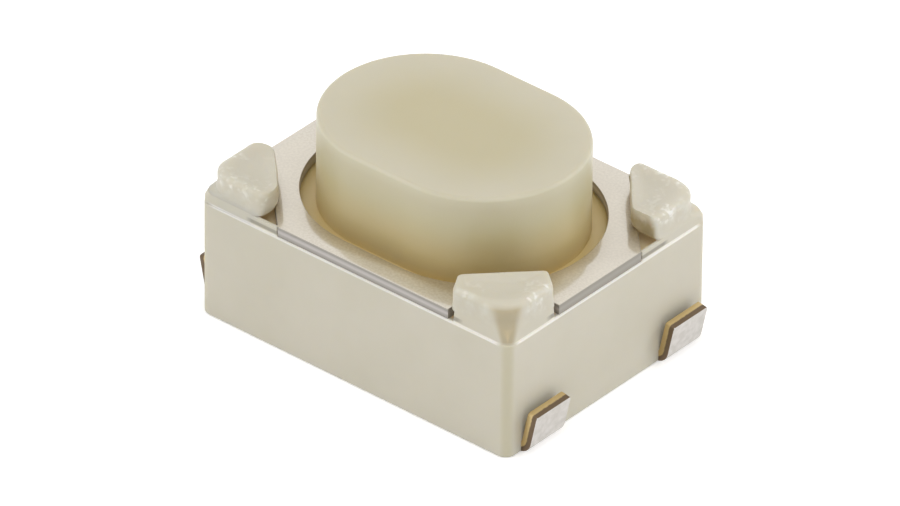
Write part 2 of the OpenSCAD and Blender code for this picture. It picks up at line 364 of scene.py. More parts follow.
off_middle = add_node(tree, "Math", {"operation": "SUBTRACT"}, _0=right_wall, _1=left_wall)
off_middle = add_node(tree, "Math", {"operation": "ABSOLUTE"}, _0=off_middle)
funnel = add_node(
    tree, "MapRange", Value=z, From_Min=RIM_Z * MM, From_Max=(HEAD_TOP - 0.05) * MM,
    To_Min=FUNNEL_WIDTHS[0] * MM, To_Max=FUNNEL_WIDTHS[1] * MM,
)
off_middle = add_node(tree, "Math", {"operation": "DIVIDE"}, _0=off_middle, _1=funnel)
limits["in_funnel"] = add_node(
    tree, "MapRange", {"interpolation_type": "SMOOTHSTEP"}, Value=off_middle,
    From_Min=1.15, From_Max=0.5, To_Max=0.95,
)
limits["beside_funnel"] = add_node(tree, "MapRange", Value=off_middle, From_Min=1.0, From_Max=1.3)
for name, (size, detail, begin, full, most) in FROST.items():
    grain = add_node(tree, "TexNoise", Vector=place, Scale=1 / (size * MM), Detail=detail)
    limits[name] = add_node(tree, "MapRange", Value=grain, From_Min=begin, From_Max=full, To_Max=most)
print("funnel and frost:", len(FROST) + 2, "more limits")

# %% [markdown]
# Now the places can be painted over the cream, one after the other. A place is where all its
# limits hold, which is their product. The rim is thin and light fills it, so it gets a nearly
# white painted highlight. The rounded outer corners get painted shade, and so does the front
# post's funnel. A head's inner side gets golden painted shade below its edge, and so do the gaps,
# and the lip beside an open notch gets a painted shadow line. In the gaps beside the posts light
# comes through the heads from above, which is painted here as a paler tint and a weak glow. A
# head's skin is lumpy too, with lumps about a tenth of a millimetre wide.

# %% Housing resin
PLACES = {
    # painted shade on the rounded outer corners
    "outer corner": (("on_corner",), "cbc4a8"),
    # painted shade in the front post's funnel
    "funnel": (("in_funnel", "front_corner", "above_rim", "below_crown"), "bbae90"),
    # golden painted shade on the heads' inner sides
    "inner side": (("inner_side", "near_end", "off_wall", "over_cover", "below_edge"), "a8966a"),
    # painted shadow line on the lip beside an open notch
    "painted shadow on the lip": (("on_wall", "past_post", "above_line", "below_line"), "8e887c"),
    # painted highlight along the rim
    "rim": (("at_edge", "near_rim", "up_to_rim", "off_corner"), "f8f4eb"),
    # golden painted shade in the gaps
    "gap": (("behind_wall", "in_gap", "above_base"), "d2ba84"),
    # painted light in the gaps beside the posts, with a painted glow below
    "painted light beside a post": (("behind_wall", "in_gap", "beside_post", "above_guide"), "e8d8b0"),
    "haze": (("haze", "rising", "outer_edge", "beside_funnel", "beside_wall"), "e8e9e2"),
    # frost flakes, which along the heads' edges are also painted glints
    "flakes": (("flakes", "patches", "on_head", "outer_edge", "high_edge", "beside_funnel"), "f8f6ee"),
}
PAINTED_GAP_GLOW = 0.07
LUMP_WIDTH = 0.09

colour = linear("d4cebd")
shares = {}
for name, (held, tint) in PLACES.items():
    share = limits[held[0]]
    for limit in held[1:]:
        share = add_node(tree, "Math", {"operation": "MULTIPLY"}, _0=share, _1=limits[limit])
    shares[name] = share
    colour = add_node(tree, "Mix", {"data_type": "RGBA"}, Factor=share, A=colour, B=linear(tint))
lumpy = add_node(
    tree, "TexNoise", Vector=place, Scale=1 / (LUMP_WIDTH * MM), Detail=4.0, Roughness=0.6,
)
lumps = add_node(tree, "Math", {"operation": "MULTIPLY"}, _0=lumpy, _1=limits["on_head"])
lump_bump = add_node(tree, "Bump", Strength=0.5, Distance=0.01 * MM, Height=lumps)
# The painted glow in the gaps beside the posts, an emission standing in for light through the heads.
glow = add_node(tree, "Math", {"operation": "MULTIPLY"}, _0=shares["painted light beside a post"], _1=PAINTED_GAP_GLOW)
finish_nylon(housing_resin, tree, place, colour, 0.46, lump_bump, glow)
print("housing resin:", len(tree.nodes), "nodes")

# %% [markdown]
# The cover is satin stainless sheet. Its skin has polished plateaus and rough valleys, both
# finer than the camera can part. So two shaders are mixed: a sharp one, in which the button
# mirrors with clear sides, and a rough one that spreads white light over it. Fine rolling lines
# are a bump, stretched eight times along X.

# %% Stainless sheet
ROUGH_VALLEYS = 0.5


def satin_stainless(name, colour, cloud_colour, roughness, valleys):
    """Rolled stainless: warm grey metal with a fine directional grain and faint clouds."""
    material, tree, place = new_material(name)
    stretched = add_node(tree, "Mapping", Vector=place, Scale=(0.12, 1, 1))
    lines = add_node(tree, "TexNoise", Vector=stretched, Scale=1 / (0.025 * MM), Detail=4.0)
    clouds = add_node(tree, "TexNoise", Vector=place, Scale=1 / (0.5 * MM), Detail=3.0)
    tint = add_node(tree, "MapRange", Value=clouds, From_Min=0.3, From_Max=0.7)
    base = add_node(
        tree, "Mix", {"data_type": "RGBA"}, Factor=tint, A=linear(colour), B=linear(cloud_colour),
    )
    bump = add_node(tree, "Bump", Strength=0.06, Distance=0.001 * MM, Height=lines)
    speckle = add_node(tree, "TexNoise", Vector=place, Scale=1 / (0.03 * MM), Detail=2.0)
    share = add_node(
        tree, "MapRange", Value=speckle, From_Min=0.4, From_Max=0.6,
        To_Min=valleys - 0.03, To_Max=valleys + 0.03,
    )
    lobes = [
        add_node(tree, "BsdfPrincipled", Base_Color=base, Metallic=1.0, Roughness=rough, Normal=bump)
        for rough in (roughness, ROUGH_VALLEYS)
    ]
    shader = add_node(tree, "MixShader", _0=share, _1=lobes[0], _2=lobes[1])
    add_node(tree, "OutputMaterial", Surface=shader)
    return material


cover_steel = satin_stainless("satin_stainless", "dfd8cb", "dad3c7", 0.09, 0.5)
dome_steel = satin_stainless("spring_stainless", "cfd0d2", "c6c7c9", 0.12, 0.3)
print("sheet materials:", cover_steel.name, dome_steel.name)

# %% [markdown]
# The cut edge is not like the face. A punch leaves a rounded die roll at the top, a smooth
# burnished band below it and a torn, darker band at the bottom. The edge material draws these
# bands by height, with painted shade in them too: the dark bottom band is also the painted shadow
# of the thin gap under the cover, and the dark line in the die roll is a painted reflection. The
# edges that face along X get one even mid tone instead, which is painted shade.

# %% Punched edge
# Bands by height: torn band with painted shadow of the gap, burnished band, die roll with a painted dark
# reflection.
PUNCHED_EDGE_BANDS_AND_SHADE = [
    (0.0, "938e87"), (0.3, "aba69f"), (0.48, "c2bdb9"), (0.64, "b8b2ae"), (0.8, "9c978f"),
    (0.9, "a8a39a"), (1.0, "ccc5b9"),
]

cover_edge, tree, place = new_material("punched_stainless_edge")
split = add_node(tree, "SeparateXYZ", Vector=place)
share = add_node(
    tree, "MapRange", Value=split.outputs["Z"], From_Min=RIM_Z * MM, From_Max=COVER_TOP * MM,
)
bands = add_node(tree, "ValToRGB", Fac=share)
fill_ramp(bands.color_ramp, PUNCHED_EDGE_BANDS_AND_SHADE)
facing = add_node(tree, "SeparateXYZ", Vector=add_node(tree, "NewGeometry").outputs["Normal"])
# Edges facing along X get one even painted shade in place of the bands.
end_painted_shade = add_node(tree, "Math", {"operation": "ABSOLUTE"}, _0=facing.outputs["X"])
end_painted_shade = add_node(tree, "MapRange", Value=end_painted_shade, From_Min=0.8, From_Max=0.95, To_Max=0.75)
base = add_node(tree, "Mix", {"data_type": "RGBA"}, Factor=end_painted_shade, A=bands, B=linear("9d988d"))
shader = add_node(tree, "BsdfPrincipled", Base_Color=base, Metallic=0.3, Roughness=0.5)
add_node(tree, "OutputMaterial", Surface=shader)
print("punched edge:", len(PUNCHED_EDGE_BANDS_AND_SHADE), "bands")

# %% [markdown]
# The contact strips are brass, silver plated before they were cut out. So their faces are
# dull mottled silver, and every cut edge shows what is inside: golden brass where the punch
# sheared it clean, and brown where it tore. The mesh carries a number called through_sheet,
# 0 on the outer face and 1 on the inner, and the edge material colours by it.

# %% Silver plated brass
plate, tree, place = new_material("dull_silver_plate")
mottle = add_node(tree, "TexNoise", Vector=place, Scale=1 / (0.08 * MM), Detail=4.0)
share = add_node(tree, "MapRange", Value=mottle, From_Min=0.35, From_Max=0.65)
base = add_node(tree, "Mix", {"data_type": "RGBA"}, Factor=share, A=linear("c3bfb9"), B=linear("d3cfcb"))
rough = add_node(tree, "MapRange", Value=mottle, From_Min=0.3, From_Max=0.7, To_Min=0.42, To_Max=0.52)
bump = add_node(tree, "Bump", Strength=0.3, Distance=0.002 * MM, Height=mottle)
shader = add_node(tree, "BsdfPrincipled", Base_Color=base, Metallic=1.0, Roughness=rough, Normal=bump)
add_node(tree, "OutputMaterial", Surface=shader)

plate_edge, tree, place = new_material("cut_brass_edge")
through = add_node(tree, "Attribute", {"attribute_name": "through_sheet"}).outputs["Fac"]
torn = add_node(tree, "TexNoise", Vector=place, Scale=1 / (0.04 * MM), Detail=3.0)
wander = add_node(tree, "MapRange", Value=torn, From_Min=0.3, From_Max=0.7, To_Min=-0.03, To_Max=0.03)
depth = add_node(tree, "Math", {"operation": "ADD"}, _0=through, _1=wander)
golden = add_node(tree, "MapRange", Value=depth, From_Min=0.44, From_Max=0.54)
base = add_node(
    tree, "Mix", {"data_type": "RGBA"}, Factor=golden, A=linear("6c5943"), B=linear("d2ba88"),
)
metal = add_node(tree, "MapRange", Value=golden, To_Min=0.5)
shader = add_node(tree, "BsdfPrincipled", Base_Color=base, Metallic=metal, Roughness=0.38)
add_node(tree, "OutputMaterial", Surface=shader)
print("contact materials:", plate.name, plate_edge.name)

# %% [markdown]
# Four short helpers serve every piece. The first turns a finished mesh into an object: it
# scales the mesh to metres, smooths what bends gently, hangs the piece on the body it rides on
# and hides the CAD node it stands for. The second joins or cuts two closed meshes with Blender's
# exact boolean. The third rounds the edges where two faces meet at a sharp angle. The last
# picks the points, edges or faces from what an operator returns.

# %% Mesh helpers
SMOOTH_ANGLE = radians(35)
SHARP_ANGLE = radians(60)
MERGE = 0.0005


def finish_piece(bm, name, body, node, materials):
    """Makes the bmesh an object at the origin that replaces a CAD node."""
    bmesh.ops.recalc_face_normals(bm, faces=bm.faces)
    bmesh.ops.scale(bm, vec=(MM, MM, MM), verts=bm.verts)
    mesh = bpy.data.meshes.new(name)
    bm.to_mesh(mesh)
    bm.free()
    for material in materials:
        mesh.materials.append(material)
    mesh.shade_smooth()
    mesh.set_sharp_from_angle(angle=SMOOTH_ANGLE)
    piece = bpy.data.objects.new(name, mesh)
    bpy.context.collection.objects.link(piece)
    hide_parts(node)
    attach(piece, body)
    size = " x ".join(f"{span / MM:.3f}" for span in piece.dimensions)
    print(f"{name}: {len(mesh.polygons)} faces, {size} mm")
    return piece


def combine(first, second, operation):
    """The union or difference of two closed bmeshes, as a new bmesh."""
    pair = []
    for bm in (first, second):
        bmesh.ops.recalc_face_normals(bm, faces=bm.faces)
        mesh = bpy.data.meshes.new("scrap")
        bm.to_mesh(mesh)
        bm.free()
        pair.append(bpy.data.objects.new("scrap", mesh))
        bpy.context.collection.objects.link(pair[-1])
    modifier = pair[0].modifiers.new("combine", "BOOLEAN")
    modifier.operation = operation
    modifier.solver = "EXACT"
    modifier.object = pair[1]
    result = bmesh.new()
    result.from_object(pair[0], bpy.context.evaluated_depsgraph_get())
    for scrap in pair:
        mesh = scrap.data
        bpy.data.objects.remove(scrap)
        bpy.data.meshes.remove(mesh)
    return result


def round_sharp_edges(bm, radius, segments=3, low=None, high=None):
    """Rounds the sharp edges whose ends lie between two heights."""
    edges = [
        edge for edge in bm.edges
        if len(edge.link_faces) == 2 and edge.calc_face_angle() > SHARP_ANGLE
        and all((low is None or v.co.z > low) and (high is None or v.co.z < high) for v in edge.verts)
    ]
    bmesh.ops.bevel(
        bm, geom=edges, offset=radius, affect="EDGES", segments=segments, profile=0.5,
        material=-1, clamp_overlap=True,
    )


def pick(items, kind):
    """The items that are of one kind."""
    return [item for item in items if isinstance(item, kind)]


# %% [markdown]
# The button's column, its flange and the hole in the cover are all stadiums: a rectangle with
# two round ends. A stadium solid could be scaled from a cylinder, but then its straight sides
# would bulge. Sweeping a profile once round the outline keeps every wall and edge radius true:
# half a turn at one end, straight across, half a turn at the other end, and straight back.

# %% Sweep round a stadium
HALF_TURN_STEPS = 48


def sweep_stadium(bm, profile, length, width):
    """Carries a profile of (inset, z) points round a stadium of the given length and width."""
    middle = (length - width) / 2
    chain = [bm.verts.new((middle, inset - width / 2, z)) for inset, z in profile]
    front = chain + [bm.edges.new(pair) for pair in zip(chain, chain[1:])]
    for side in (1, -1):
        spun = bmesh.ops.spin(
            bm, geom=front, cent=(side * middle, 0, 0), axis=(0, 0, 1), angle=pi,
            steps=HALF_TURN_STEPS, use_duplicate=False,
        )
        pushed = bmesh.ops.extrude_edge_only(bm, edges=pick(spun["geom_last"], BMEdge))["geom"]
        verts = pick(pushed, BMVert)
        bmesh.ops.translate(bm, vec=(-2 * side * middle, 0, 0), verts=verts)
        front = verts + [e for e in pick(pushed, BMEdge) if set(verts).issuperset(e.verts)]
    bmesh.ops.remove_doubles(bm, verts=bm.verts, dist=MERGE)


def cap_holes(bm):
    """Closes every open loop with one flat face."""
    bmesh.ops.holes_fill(bm, edges=[edge for edge in bm.edges if edge.is_boundary], sides=0)


def quarter_round(inset, z, radius, steps, outwards=1):
    """Points of a rounded edge from upright to level, starting at (inset, z - radius)."""
    angles = [pi / 2 * step / steps for step in range(steps + 1)]
    return [(inset + radius * (1 - cos(a)) * outwards, z - radius * (1 - sin(a))) for a in angles]


# %% [markdown]
# The button is one moulding: a tall stadium column that is pressed, a flange that the cover
# holds down, and a round nose underneath that works the dome. Its profile is drawn once, with
# a soft radius at the top edge, and swept. Below the flange the outline changes to the circle
# of the nose, so those two loops are bridged.

# %% Button
FLANGE_LAP = 0.07
FLANGE_T = 0.28
FLANGE_EDGE = 0.02
COVER_GAP = 0.02
NOSE_R = 0.4
STEM_EDGE = 0.05

flange_l = HOLE_L + 2 * FLANGE_LAP
flange_w = HOLE_W + 2 * FLANGE_LAP
flange_top = RIM_Z - COVER_GAP
flange_low = flange_top - FLANGE_T
column_inset = FLANGE_LAP + STEM_GAP

bm = bmesh.new()
profile = [(0.0, flange_low)] + quarter_round(0.0, flange_top, FLANGE_EDGE, 3)
profile += [(column_inset, flange_top)] + quarter_round(column_inset, STEM_TOP, STEM_EDGE, 8)
sweep_stadium(bm, profile, flange_l, flange_w)
flange_rim = [edge for edge in bm.edges if edge.is_boundary and edge.verts[0].co.z < flange_top]
nose = bmesh.ops.create_circle(bm, segments=len(flange_rim), radius=NOSE_R)["verts"]
bmesh.ops.translate(bm, vec=(0, 0, flange_low), verts=nose)
nose_rim = list(dict.fromkeys(edge for vert in nose for edge in vert.link_edges))
bmesh.ops.bridge_loops(bm, edges=flange_rim + nose_rim)
pushed = bmesh.ops.extrude_edge_only(bm, edges=nose_rim)["geom"]
bmesh.ops.translate(bm, vec=(0, 0, stem_low.z - flange_low), verts=pick(pushed, BMVert))
cap_holes(bm)
finish_piece(bm, "button", "button", "stem", [button_resin])

# %% [markdown]
# The cover is a flat stamping. Its outline starts as a rectangle. Two opposite corners are cut
# straight across at 45 degrees, and the other two get the same cut held between two straight
# sides, which is what keys the cover one way round. Cutting a plane with bisect_plane follows
# the way a die works.

# %% Cover outline
COVER_INSET = 0.02
NOTCH_LEG = 1.04
NOTCH_REACH = (NOTCH_LEG + 2 * COVER_INSET) / sqrt(2)
NOTCH_SIDE = 0.83
DIE_ROLL = 0.016


def cut_line(bm, at, normal):
    """Cuts the flat faces along a line, keeping both sides."""
    bmesh.ops.bisect_plane(
        bm, geom=bm.verts[:] + bm.edges[:] + bm.faces[:], plane_co=at, plane_no=normal, dist=1e-5,
    )


def in_notch(point, sign_x, sign_y, close):
    """Whether a point of the blank lies in the notch of a corner."""
    along_x = BODY_L / 2 - sign_x * point.x
    along_y = BODY_W / 2 - sign_y * point.y
    if close and max(along_x, along_y) > NOTCH_SIDE:
        return False
    return (along_x + along_y) / sqrt(2) < NOTCH_REACH


bm = bmesh.new()
bmesh.ops.create_grid(bm, x_segments=1, y_segments=1, size=0.5)
bmesh.ops.scale(bm, vec=(cover_high.x - cover_low.x, cover_high.y - cover_low.y, 1), verts=bm.verts)
for sign_x in (1, -1):
    for sign_y in (1, -1):
        normal = Vector((sign_x, sign_y, 0)).normalized()
        tip = Vector((sign_x * BODY_L / 2, sign_y * BODY_W / 2, 0))
        close = sign_x != sign_y
        cut_line(bm, tip - normal * NOTCH_REACH, normal)
        if close:
            cut_line(bm, tip - Vector((sign_x * NOTCH_SIDE, 0, 0)), (sign_x, 0, 0))
            cut_line(bm, tip - Vector((0, sign_y * NOTCH_SIDE, 0)), (0, sign_y, 0))
        waste = [f for f in bm.faces if in_notch(f.calc_center_median(), sign_x, sign_y, close)]
        bmesh.ops.delete(bm, geom=waste, context="FACES")
bmesh.ops.dissolve_limit(bm, angle_limit=0.01, verts=bm.verts, edges=bm.edges)
print("cover outline:", len(bm.verts), "corners,", len(bm.faces), "face")

# %% [markdown]
# The blank is now extruded to its thickness, and its upper edges get the soft die roll. The hole
# comes last, cut by a stadium whose profile flares at the top, so the hole's edge has a die
# roll too. Faces that aren't level get the material of the cut edge.

# %% Cover thickness and hole
LEVEL_SHARE = 0.9

bmesh.ops.translate(bm, vec=(0, 0, RIM_Z), verts=bm.verts)
sheet = bmesh.ops.extrude_face_region(bm, geom=bm.faces[:], use_keep_orig=True)["geom"]
bmesh.ops.translate(bm, vec=(0, 0, COVER_TOP - RIM_Z), verts=pick(sheet, BMVert))
bmesh.ops.recalc_face_normals(bm, faces=bm.faces)
round_sharp_edges(bm, DIE_ROLL, 2, low=COVER_TOP - MERGE)

punch = bmesh.new()
profile = [(0, RIM_Z - DIE_ROLL)] + quarter_round(0, COVER_TOP, DIE_ROLL, 2, outwards=-1)
profile.append((-DIE_ROLL, COVER_TOP + DIE_ROLL))
sweep_stadium(punch, profile, HOLE_L, HOLE_W)
cap_holes(punch)
bm = combine(bm, punch, "DIFFERENCE")
bm.normal_update()
for face in bm.faces:
    face.material_index = int(abs(face.normal.z) < LEVEL_SHARE)
finish_piece(bm, "cover_plate", "base", "cover", [cover_steel, cover_edge])

# %% [markdown]
# A contact strip is bent from one sheet. It runs level inside the floor, dips to the foot, turns
# up round the bend and ends in the leaning terminal. Only the terminals show in the photograph
# and have their sizes from it. The rest is what joins them.

# %% Contact strip sizes
SHEET_T = 0.12
TERMINAL_W = 0.55
TERMINAL_SIDE = 0.225
TERMINAL_H = 0.52
TERMINAL_LEAN = radians(12)
TIP_R = 0.03
CUT_EDGE = 0.008
BEND_R = 0.05
BEND_STEPS = 10
TIP_STEPS = 4
STRIP_Z = 0.18
FOOT_INSET = 0.04
FOOT_L = 0.15
RAMP_L = 0.2

strip_y = BODY_W / 2 - TERMINAL_SIDE - TERMINAL_W / 2
foot_x = BODY_L / 2 - FOOT_INSET
bend_out = BEND_R + SHEET_T
ramp_x = foot_x - FOOT_L - RAMP_L
tip_length = (TERMINAL_H - bend_out + BEND_R * sin(TERMINAL_LEAN)) / cos(TERMINAL_LEAN)
print(f"terminals {2 * strip_y:.2f} mm apart, straight tip {tip_length:.3f} mm")

# %% [markdown]
# The strip is modelled the way it is made. Its cross-section is one rectangle. Extruding that
# rectangle along the strip, with a spin for the bend, keeps the sheet's thickness the same
# everywhere. One half is made and mirrored, and the tips get their rounded corners.

# %% Contact strips
def push(bm, face, move):
    """Extrudes one face, moves it and returns it. The face it started from is opened."""
    made = bmesh.ops.extrude_face_region(bm, geom=[face])["geom"]
    bmesh.ops.translate(bm, vec=move, verts=pick(made, BMVert))
    if face.is_valid:
        bmesh.ops.delete(bm, geom=[face], context="FACES_ONLY")
    return pick(made, BMFace)[0]


def strip(sign, soft):
    """A whole strip with a terminal at each end, on the side given by sign."""
    bm = bmesh.new()
    through = bm.verts.layers.float.new("through_sheet")
    low_edge = [bm.verts.new((0, side * TERMINAL_W / 2, STRIP_Z)) for side in (-1, 1)]
    high_edge = [bm.verts.new((0, side * TERMINAL_W / 2, STRIP_Z + SHEET_T)) for side in (1, -1)]
    for vert in high_edge:
        vert[through] = 1.0
    face = bm.faces.new(low_edge + high_edge)
    face = push(bm, face, (ramp_x, 0, 0))
    face = push(bm, face, (RAMP_L, 0, -STRIP_Z))
    face = push(bm, face, (FOOT_L, 0, 0))
    spun = bmesh.ops.spin(
        bm, geom=[face] + list(face.edges) + list(face.verts), cent=(foot_x, 0, bend_out),
        axis=(0, -1, 0), angle=pi / 2 - TERMINAL_LEAN, steps=BEND_STEPS, use_duplicate=False,
    )
    face = pick(spun["geom_last"], BMFace)[0]
    tip = push(bm, face, (tip_length * sin(TERMINAL_LEAN), 0, tip_length * cos(TERMINAL_LEAN)))
    corners = [edge for edge in tip.edges if abs(edge.verts[0].co.y - edge.verts[1].co.y) < MERGE]
    bmesh.ops.bevel(
        bm, geom=corners, offset=TIP_R, affect="EDGES", segments=TIP_STEPS, profile=0.5,
        material=-1, clamp_overlap=True,
    )
    middle = [f for f in bm.faces if all(abs(v.co.x) < MERGE for v in f.verts)]
    bmesh.ops.delete(bm, geom=middle, context="FACES_ONLY")
    bmesh.ops.mirror(bm, geom=bm.verts[:] + bm.edges[:] + bm.faces[:], axis="X", merge_dist=MERGE)
    bmesh.ops.remove_doubles(bm, verts=bm.verts, dist=MERGE)
    bmesh.ops.recalc_face_normals(bm, faces=bm.faces)
    if soft:
        round_sharp_edges(bm, CUT_EDGE, 2)
    bmesh.ops.translate(bm, vec=(0, sign * strip_y, 0), verts=bm.verts)
    return bm


# %% [markdown]
# Each strip reaches in to the dome in its own way. The one on the -Y side has two ears that end
# in raised pads under the dome's rim. The one on the +Y side has a tongue with a raised round
# contact in the middle, which the dome snaps down on. Boxes and a cylinder joined to the strip
# make these, because the real ones are flat sheet with embossed pads.

# %% Ears and tongue
PAD_L = 0.25
PAD_W = 0.4
PAD_MARGIN = 0.02
CENTRE_R = 0.3
TONGUE_MARGIN = 0.05
TRAVEL = 0.25
SNAP_PLAY = 0.01
DOME_T = 0.06
OVERLAP = 0.05
CONTACT_STEPS = 64

dome_r = dome_high.x
pad_top = dome_low.z
centre_top = dome_high.z - DOME_T - TRAVEL - SNAP_PLAY
strip_side = strip_y - TERMINAL_W / 2 + OVERLAP


def block(bm, low, high):
    """A closed box between two corners."""
    size = [b - a for a, b in zip(low, high)]
    middle = [(a + b) / 2 for a, b in zip(low, high)]
    bmesh.ops.create_cube(bm, size=1, matrix=Matrix.Translation(middle) @ Matrix.Diagonal(size).to_4x4())


def cylinder(radius, low, high, segments):
    """A closed cylinder on the Z axis, as a new bmesh."""
    bm = bmesh.new()
    bmesh.ops.create_cone(
        bm, cap_ends=True, segments=segments, radius1=radius, radius2=radius, depth=high - low,
        matrix=Matrix.Translation((0, 0, (low + high) / 2)),
    )
    return bm


def contact_frame(sign, soft=True):
    """One of the two folded strips with what reaches in from it."""
    bm = strip(sign, soft)
    top = STRIP_Z + SHEET_T
    if sign > 0:
        reach = CENTRE_R + TONGUE_MARGIN
        tongue = bmesh.new()
        block(tongue, (-reach, -reach, STRIP_Z), (reach, strip_side, top))
        bm = combine(bm, tongue, "UNION")
        return combine(bm, cylinder(CENTRE_R, STRIP_Z, centre_top, CONTACT_STEPS), "UNION")
    outer = dome_r + PAD_MARGIN
    for low_x, high_x in ((-outer, PAD_L - outer), (outer - PAD_L, outer)):
        ear_and_pad = ((-strip_side, OVERLAP - PAD_W / 2, top), (-PAD_W / 2, PAD_W / 2, pad_top))
        for low_y, high_y, z in ear_and_pad:
            ear = bmesh.new()
            block(ear, (low_x, low_y, STRIP_Z), (high_x, high_y, z))
            bm = combine(bm, ear, "UNION")
    return bm


# %% [markdown]
# Now both frames are made and their faces sorted: the cut sides, which face along Y, and the
# cut tips, which face up at the terminals' ends, show the brass. All other faces are plated.

# %% The two frames
SIDE_SHARE = 0.6
TIP_SHARE = 0.8

for sign, node in ((-1, "common_contact_frame"), (1, "centre_contact_frame")):
    bm = contact_frame(sign)
    bm.normal_update()
    for face in bm.faces:
        side_cut = abs(face.normal.y) > SIDE_SHARE
        at_tip = face.calc_center_median().z > TERMINAL_H - TIP_R
        tip_cut = at_tip and face.normal.z > TIP_SHARE
        face.material_index = int(side_cut or tip_cut)
    finish_piece(bm, node + "_sheet", "base", node, [plate, plate_edge])

# %% [markdown]
# The snap dome is a shallow spring disc. A cap of a sphere would do, but the disc has a wall
# that can be seen from its rim, so a closed profile is spun: out along the upper arc, down the
# rim, and back along the lower arc.

# %% Snap dome
DOME_STEPS = 16
DOME_TURN_STEPS = 96

dome_rise = dome_high.z - dome_low.z
ball_r = (dome_r ** 2 + dome_rise ** 2) / (2 * dome_rise)
ball_z = dome_high.z - ball_r
section = []
for radius, steps in ((ball_r, range(DOME_STEPS + 1)), (ball_r - DOME_T, range(DOME_STEPS, -1, -1))):
    reach = sqrt(radius ** 2 - (dome_low.z - ball_z) ** 2)
    arc = [reach * step / DOME_STEPS for step in steps]
    section += [(x, ball_z + sqrt(radius ** 2 - x ** 2)) for x in arc]

bm = bmesh.new()
chain = [bm.verts.new((x, 0, z)) for x, z in section]
edges = [bm.edges.new(pair) for pair in zip(chain, chain[1:])]
bmesh.ops.spin(
    bm, geom=chain + edges, cent=(0, 0, 0), axis=(0, 0, 1), angle=2 * pi, steps=DOME_TURN_STEPS,
    use_merge=True, use_duplicate=False,
)
bmesh.ops.remove_doubles(bm, verts=bm.verts, dist=MERGE)
dome = finish_piece(bm, "spring_dome", "base", "snap_dome", [dome_steel])
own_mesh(dome)

# %% [markdown]
# The posts are where the switch was closed. Each post stood up through a notch of the cover
# and was melted over its edge with a hot tool, which left a lumpy, frosted head. So each post
# is a stack of rings, one for each height, bridged into a skin. A ring is a flat outline of five
# points: the corner at the walls, an end on each wall, and two points that reach in over the
# cover. Each point is then rounded with a vertex bevel. No melted head is like another, so each
# corner has its own end along X, two inner points, end along Y, radius for these points, and
# radius for the crown's outer corner.

# %% Post ring
CORNER_STEPS = 10
SOFT_STEPS = 4
SHANK = ((0.76, 0.066), (0.066, 0.76))
SHANK_SOFT = 0.02
HEADS = {
    (1, -1): (0.8, (0.93, 0.29), (0.29, 0.955), 0.78, 0.05, 0.46),
    (-1, -1): (0.82, (0.85, 0.29), (0.31, 0.835), 0.8, 0.085, 0.28),
    (1, 1): (0.875, (0.88, 0.22), (0.38, 0.8), 0.8, 0.05, 0.36),
    (-1, 1): (0.8, (0.87, 0.3), (0.3, 0.87), 0.8, 0.05, 0.34),
}


def post_ring(bm, head, z, inset, corner_r, share):
    """Outline of the +X +Y post at one height, between the shank (share 0) and the full head (1).

    Distances run inwards from the housing's corner.
    """
    end_x, low, high, end_y, soft_r, _ = head
    shank = ((SHANK[0][0], inset), *SHANK, (inset, SHANK[1][1]))
    full = ((end_x, inset), low, high, (inset, end_y))
    inner = [(a + (c - a) * share, b + (d - b) * share) for (a, b), (c, d) in zip(shank, full)]
    before = set(bm.edges)
    verts = [bm.verts.new((BODY_L / 2 - u, BODY_W / 2 - v, z)) for u, v in [(inset, inset)] + inner]
    bm.faces.new(verts)
    soft = SHANK_SOFT + (soft_r - SHANK_SOFT) * share
    for corners, radius, steps in ((verts[1:], soft, SOFT_STEPS), (verts[:1], corner_r, CORNER_STEPS)):
        bmesh.ops.bevel(
            bm, geom=corners, offset=radius, segments=steps, affect="VERTICES", profile=0.5, material=-1,
        )
    bmesh.ops.delete(bm, geom=bm.faces[:], context="FACES_ONLY")
    return [edge for edge in bm.edges if edge not in before]


# %% [markdown]
# The levels run from the foot to the crown. Each has its height above the rim, its inset from
# the walls, the radius of its outer corner, and its share of the full head. Up to the cover's
# top a post stands nearly flush with the walls and keeps to its shank. Above that it drew back
# from the walls and swelled over the cover. Three posts step back in a ledge. The front one was
# drawn into a slope from the rim up. Last, the head's top edge is rounded.

# %% Levels of a post
LEVELS = [
    (-0.05, 0.012, 0.09, 0.0), (0.07, 0.013, 0.1, 0.0), (0.12, 0.018, 0.165, 0.0),
    (0.12, 0.018, 0.165, 0.75),
    (0.138, 0.03, 0.215, 0.84), (0.16, 0.045, 0.255, 0.93), (0.22, 0.05, 0.28, 1.0),
]
DRAWN_LEVELS = [
    (-0.05, 0.014, 0.12, 0.0), (0.02, 0.015, 0.125, 0.0), (0.07, 0.021, 0.15, 0.0),
    (0.12, 0.028, 0.18, 0.0),
    (0.125, 0.0287, 0.184, 0.77), (0.14, 0.032, 0.197, 0.84), (0.16, 0.038, 0.22, 0.93),
    (0.22, 0.05, 0.28, 1.0),
]
DRAWN_POST = (1, -1)
HEAD_R = 0.06
ROUND_STEPS = 6
CROWN_SHARE = 0.92


def post_levels(levels, crown_corner):
    """Height, inset from the walls, corner radius and share of the head, from foot to crown."""
    inset, corner_r = levels[-1][1:3]
    levels = [(RIM_Z + up, *sizes) for up, *sizes in levels]
    for step in range(ROUND_STEPS + 1):
        angle = pi / 2 * step / ROUND_STEPS
        draw = 1 - cos(angle)
        levels.append((
            HEAD_TOP - HEAD_R * (1 - sin(angle)), inset + HEAD_R * draw,
            corner_r + (crown_corner - corner_r) * draw, 1 - (1 - CROWN_SHARE) * draw,
        ))
    return levels


# %% [markdown]
# A post is its bridged rings, closed at both ends. The tool left the crown hollow, so the top
# face goes down in three narrowing steps. Noise moves the points above the cover by up to a
# hundredth of a millimetre. Its seed is fixed, so that every run draws the same lumps.

